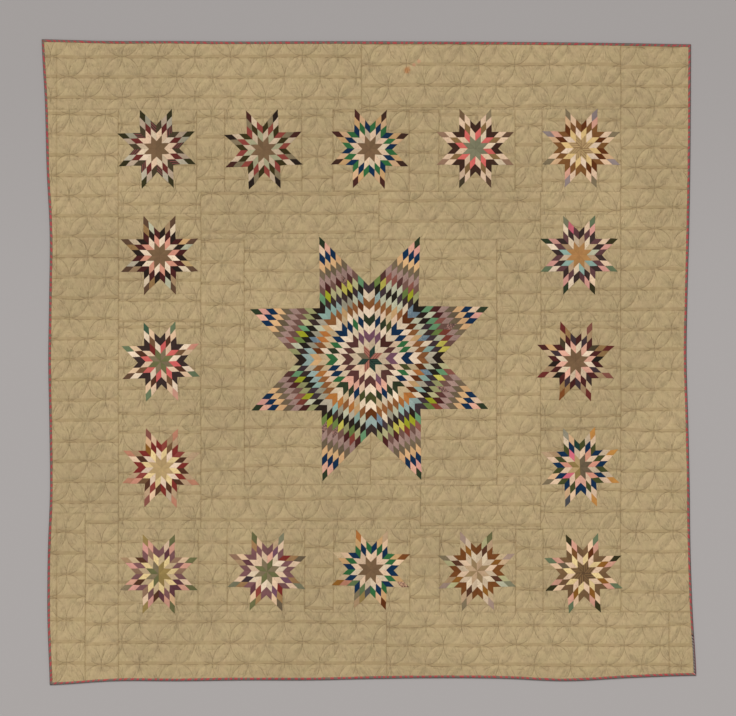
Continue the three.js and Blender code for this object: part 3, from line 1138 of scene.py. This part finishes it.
def patchworkMaterial():
    # Cotton prints: the colours come with each diamond, the figures are drawn here.
    material, shader, place = newMaterial("patchwork")
    apart = splitAxes(readUv())
    kind = readLayer("printKind")
    sprigs = addNode("TexVoronoi", {"Vector": place, "Scale": 170.0, "Randomness": 0.8})
    figures = {
        "sprig": fade(sprigs.outputs["Distance"], 0.16, 0.3, 0.75, 0.0),
        "stripe": fade(wave("SINE", apart["X"], 2 * math.pi * 3), 0.1, 0.4, 0.0, 0.95),
        "vine": fade(gapFrom(noise(place, 150.0, 1.0), 0.5), 0.03, 0.09, 0.9, 0.0),
    }
    mask = 0.0
    for name, drawn in figures.items():
        mask = addTo(drawn, calc("COMPARE", kind, float(prints[name]), 0.3), mask)
    base, figure = (readLayer(layer, "Color") for layer in ("clothColour", "figureColour"))
    colour = blendColours("MIX", mask, base, figure)
    aged = useGroup(age, Color=colour, Vector=place, Amount=1.5)
    threads = useGroup(weave, Vector=place, Threads=1700.0)
    creases = useGroup(puckers, Vector=place)

    # the seams lie a little in shade
    edges = []
    for axis in ("X", "Y"):
        share = calc("FRACT", apart[axis])
        edges.append(calc("MINIMUM", share, minus(1.0, share)))
    seam = fade(calc("MINIMUM", *edges), 0.0, 0.035, 0.35, 0.0)
    colour = blendColours("MULTIPLY", seam, aged["Color"], (0.45, 0.4, 0.38))
    colour = weaveTone(threads, colour, spread=0.07)
    rough = fade(aged["Mask"], 0.3, 0.7, 0.8, 0.92)
    layers = ((threads["Height"], 0.03 * mm), (creases["Height"], 0.3 * mm))
    finishCloth(shader, colour, rough, gloss=0.1, layers=layers)
    return material


def chosenCloth(entry, arm, draw):
    choices = entry.split()
    return str(draw.choice(choices[arm % len(choices)].split("|")))


def diamondCloths(star, draw):
    # The cloth of every diamond, by its arm and its place along the arm's two edges.
    names = {}
    for arm in range(8):
        for i in range(star["rings"]):
            for j in range(star["rings"]):
                if star["chart"]:
                    entry = star["chart"][smallCells[i, j]]
                else:
                    entry = bigStar["rings"][i + j]
                names[arm, i, j] = chosenCloth(entry, arm, draw)
    if not star["chart"]:
        # across the seam between two arms the same cloth meets itself
        for arm in range(8):
            for k in range(1, star["rings"]):
                names[arm, k, 0] = names[(arm - 1) % 8, 0, k]
        for cell in bigStar["figured"]:
            names[cell] = "figuredMauve"
    return names


def addArm(star, arm, names, draw):
    perDiamond = len(starShape["stations"])
    side = star["rings"] * perDiamond
    piece, i, j = addGrid(star["name"] + "_arm", side, side)
    stations = np.array([
        ring + share for ring in range(star["rings"]) for share in starShape["stations"]
    ] + [star["rings"]])
    p = stations[i]
    q = stations[j]
    x, y = starPoint(star, arm, p / star["rings"], q / star["rings"])
    cells = starShape["strayCells"]
    strays = [
        starShape["stray"] * softNoise(x, y, *cells[::way], starShape["seed"] + extra)
        for extra, way in ((0, 1), (1, -1))
    ]
    x = x + strays[0]
    y = y + strays[1]
    bulge = [np.clip(4 * (w % 1) * (1 - w % 1), 0, 1) ** 0.5 for w in (p, q)]
    z = levelHeight(x, y) + starShape["lift"] + starShape["crown"] * bulge[0] * bulge[1]
    placePoints(piece, x, y, z)
    setUv(piece, p, q)

    faces = faceCorners(piece)
    faceI = i[faces].min(1) // perDiamond
    faceJ = j[faces].min(1) // perDiamond
    base = np.ones((len(faces), 4))
    figure = np.ones((len(faces), 4))
    kind = np.zeros(len(faces))
    for (nameArm, row, column), name in names.items():
        if nameArm != arm:
            continue
        colour, printName, figureColour = cloths[name]
        here = (faceI == row) & (faceJ == column)
        base[here, :3] = np.array(linear(colour)) * draw.normal(1, starShape["toneSpread"])
        figure[here, :3] = linear(figureColour)
        kind[here] = prints[printName]
    addLayer(piece, "clothColour", "FLOAT_COLOR", "FACE", base)
    addLayer(piece, "figureColour", "FLOAT_COLOR", "FACE", figure)
    addLayer(piece, "printKind", "FLOAT", "FACE", kind)
    return piece


def addStar(star, draw):
    names = diamondCloths(star, draw)
    arms = [addArm(star, arm, names, draw) for arm in range(8)]
    bpy.ops.object.select_all(action="DESELECT")
    for arm in arms:
        arm.select_set(True)
    bpy.context.view_layer.objects.active = arms[0]
    bpy.ops.object.join()
    made = bpy.context.object
    made.name = star["name"]
    made.data.name = star["name"]
    bpy.ops.object.mode_set(mode="EDIT")
    bpy.ops.mesh.select_mode(type="EDGE")
    bpy.ops.mesh.select_all(action="SELECT")
    bpy.ops.mesh.remove_doubles(threshold=0.02 * mm)
    bpy.ops.mesh.select_all(action="DESELECT")
    bpy.ops.mesh.select_non_manifold(
        extend=False, use_wire=False, use_boundary=True, use_multi_face=False,
        use_non_contiguous=False, use_verts=False,
    )
    bpy.ops.mesh.extrude_region_move(
        TRANSFORM_OT_translate={"value": (0, 0, -starShape["skirt"])}
    )
    bpy.ops.object.mode_set(mode="OBJECT")
    bpy.ops.object.shade_smooth_by_angle(angle=math.radians(50))
    return made


patchwork = patchworkMaterial()
draws = np.random.default_rng(starShape["seed"])
starPieces = {}
for star in stars:
    starPieces[star["name"]] = addStar(star, draws)
    starPieces[star["name"]].data.materials.append(patchwork)
print("stars pieced:", len(starPieces))


# The binding: a narrow strip folded round the edge

binding = {
    # inset from the finished edge and height, from the edge turned in on top round to the one
    # turned in underneath, in millimetres
    "section": (
        (7.4, 3.5), (8.9, 3.45), (9.4, 3.75), (8.9, 4.15), (7.2, 4.45), (4.8, 4.55), (2.6, 4.4),
        (1.0, 3.9), (0.2, 3.1), (0.0, 2.2), (0.25, 1.3), (1.1, 0.65), (3.0, 0.4), (6.0, 0.34),
        (8.8, 0.34), (9.3, 0.6), (8.8, 0.85), (7.4, 0.9),
    ),
    "step": 6 * mm,
    "cut": 0.031,  # the strip's width before it is folded
    "waver": 0.45 * mm,
    "ripple": 0.18 * mm,
    "onTop": (2 * mm, 4 * mm),  # height over which these two begin
    "outer": (1 * mm, 8 * mm),  # and the inset over which the first one does
    "insideTo": (0.04, 0.08),  # share of the section, where its dark inner edge ends
    "darkOuterFrom": (0.33, 0.37),  # and where the darker outer part begins
    "darkOuterCover": 0.85,
    "lines": 22,  # fine ones across the section
    "mendShare": 2 / 32,  # of the right side, from the lower corner up
    "mitre": 0.15 * mm,
    "seed": 71,
}


def addBinding(name, side, start, end):
    upright = side in ("left", "right")
    length = 2 * outline["halfLength" if upright else "halfWidth"]
    count = max(8, round((end - start) * length / binding["step"]))
    section = np.array(binding["section"]) * mm
    strip, i, j = addGrid(name, count, len(section) - 1)
    t = start + (end - start) * i / count
    inset, height = section[j].T
    along = t * length
    onTop = ease(height, *binding["onTop"])
    seed = binding["seed"]
    sewn, slow = (
        softNoise(along, height * 0, cell, 1, seed + k) for k, cell in enumerate((0.011, 0.09))
    )
    inset = inset + ease(inset, *binding["outer"]) * onTop * binding["waver"] * (sewn + slow)
    height = height + onTop * binding["ripple"] * softNoise(along, inset, 0.009, 0.004, seed + 2)
    x, y = edgePoint(side, t, inset)
    trim = np.where(i == 0, binding["mitre"], np.where(i == count, -binding["mitre"], 0))
    if upright:
        y = y + trim
    else:
        x = x + trim
    placePoints(strip, x - middle[0], y - middle[1], height)
    setUv(strip, along, j / (len(section) - 1))
    if side in ("right", "bottom"):
        flipFaces()
    bpy.ops.object.shade_smooth()
    return strip, (binding["cut"], float((end - start) * length))


bindingLooks = {
    "plaid": {
        "first": (170, 64, 68), "second": (112, 100, 88), "stripe": (74, 74, 70),
        "line": (126, 88, 74), "period": 21 * mm, "split": 0.0, "uneven": 2.4, "inside": 0.6,
    },
    "mend": {
        "first": (16, 12, 22), "second": (200, 188, 178), "stripe": (116, 26, 46),
        "line": (52, 26, 34), "period": 11 * mm, "split": 0.6, "uneven": 0.3, "inside": 0.0,
    },
}


def bindingMaterial(name, look):
    # Blocks of two colours along the strip, and the strip darker towards its outer fold and, in the
    # plaid, along its inner edge.
    material, shader, place = newMaterial(name + "Binding")
    cut = splitAxes(readUv())
    tones = {part: linear(look[part]) for part in ("first", "second", "stripe", "line")}
    drift = times(noise(place, 11.0), look["uneven"])
    beat = addTo(cut["X"], 1 / look["period"], drift)
    faded = times(minus(noise(place, 37.0), 0.5), look["uneven"])
    swing = calc("ADD", wave("SINE", beat, 2 * math.pi), faded)
    blocks = fade(swing, look["split"] - 0.25, look["split"] + 0.25)
    colour = blendColours("MIX", blocks, tones["first"], tones["second"])
    inside = fade(cut["Y"], *binding["insideTo"], look["inside"], 0.0)
    stripe = calc("MAXIMUM", fade(cut["Y"], *binding["darkOuterFrom"]), inside)
    colour = blendColours("MIX", times(stripe, binding["darkOuterCover"]), colour, tones["stripe"])
    fine = fade(wave("SINE", cut["Y"], 2 * math.pi * binding["lines"]), 0.5, 0.9, 0.0, 0.35)
    colour = blendColours("MIX", fine, colour, tones["line"])
    aged = useGroup(age, Color=colour, Vector=place, Amount=1.4)
    threads = useGroup(weave, Vector=place, Threads=1500.0)
    creases = useGroup(puckers, Vector=place)
    colour = weaveTone(threads, aged["Color"], spread=0.08)
    rough = fade(aged["Mask"], 0.3, 0.7, 0.78, 0.9)
    layers = ((threads["Height"], 0.03 * mm), (creases["Height"], 0.5 * mm))
    finishCloth(shader, colour, rough, gloss=0.3, layers=layers)
    return material


strips = {
    "binding_top_strip": ("binding_top", "top", 0, 1, "plaid"),
    "binding_left_strip": ("binding_left", "left", 0, 1, "plaid"),
    "binding_bottom_strip": ("binding_bottom", "bottom", 0, 1, "plaid"),
    "binding_right_strip": ("binding_right", "right", binding["mendShare"], 1, "plaid"),
    "binding_mend_strip": ("binding_mend", "right", 0, binding["mendShare"], "mend"),
}
bindingCloths = {name: bindingMaterial(name, look) for name, look in bindingLooks.items()}
bindingPieces = {}
for stripName, (node, side, start, end, look) in strips.items():
    strip, stripFlat = addBinding(stripName, side, start, end)
    strip.data.materials.append(bindingCloths[look])
    bindingPieces[stripName] = (strip, stripFlat, node)
print("binding folded round the edge")


# The backing, plain muslin

backingShape = {
    "spacing": 13 * mm,
    "low": 0.35 * mm,
    "lift": 0.5 * mm,  # under the quilted lines
    "narrowing": 6,  # how fast the lift dies away, to a step of the quilting
    "inset": 2.5 * mm,
}


def addBacking():
    columns = round(2 * outline["halfWidth"] / backingShape["spacing"])
    rows = round(2 * outline["halfLength"] / backingShape["spacing"])
    sheet, i, j = addGrid("backing", columns, rows)
    x, y = clothPoint(i / columns, j / rows, backingShape["inset"])
    a, b = backingSteps(x, y)
    raised = np.exp(-lineDistance(a, b) * backingShape["narrowing"])
    placePoints(sheet, x, y, backingShape["low"] + backingShape["lift"] * raised)
    setUv(sheet, a, b)
    flipFaces()
    bpy.ops.object.shade_smooth()
    return sheet


def backingMaterial():
    material, shader, place = newMaterial("muslin")
    line = useGroup(stitches, Vector=readUv())["Line"]
    threads = useGroup(weave, Vector=place, Threads=1200.0)
    aged = useGroup(age, Color=(*linear((214, 200, 172)), 1), Vector=place, Amount=1.0)
    # painted shade darkens the backing along its sunk quilted lines
    colour = blendColours("MULTIPLY", times(line, 0.35), aged["Color"], (0.75, 0.7, 0.62))
    colour = weaveTone(threads, colour, spread=0.06)
    rough = fade(aged["Mask"], 0.3, 0.7, 0.84, 0.94)
    layers = ((line, -1.0 * mm), (threads["Height"], 0.03 * mm))
    finishCloth(shader, colour, rough, gloss=0.25, layers=layers)
    return material


backing = addBacking()
backing.data.materials.append(backingMaterial())
print("backing laid")


# The floor

def addFloor():
    bpy.ops.object.select_all(action="DESELECT")
    bpy.ops.mesh.primitive_plane_add(size=studio["floorSize"])
    floor = bpy.context.object
    floor.name = "floor"
    material, shader, place = newMaterial("paleFloor")
    # painted shade: the floor darkens towards +Y, with a little noise in where it turns
    up = addTo(noise(place, 0.8), 0.25, splitAxes(place)["Y"])
    tones = [linear(tone) for tone in studio["floorToneAndPaintedShade"]]
    colour = blendColours("MIX", fade(up, 0.1, 1.4), *tones)
    fillSockets(shader, {"Base Color": colour, "Roughness": 0.95, "Specular IOR Level": 0.1})
    floor.data.materials.append(material)


addFloor()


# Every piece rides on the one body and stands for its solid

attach(backing, body)
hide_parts("quilt_body")
for patch, patchFlat, patchArea in laidPatches.values():
    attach(patch, body)
    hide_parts("quilt_body")
for star in stars:
    piece = starPieces[star["name"]]
    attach(piece, body)
    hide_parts("quilt_body")
for strip, stripFlat, node in bindingPieces.values():
    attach(strip, body)
    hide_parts(node)
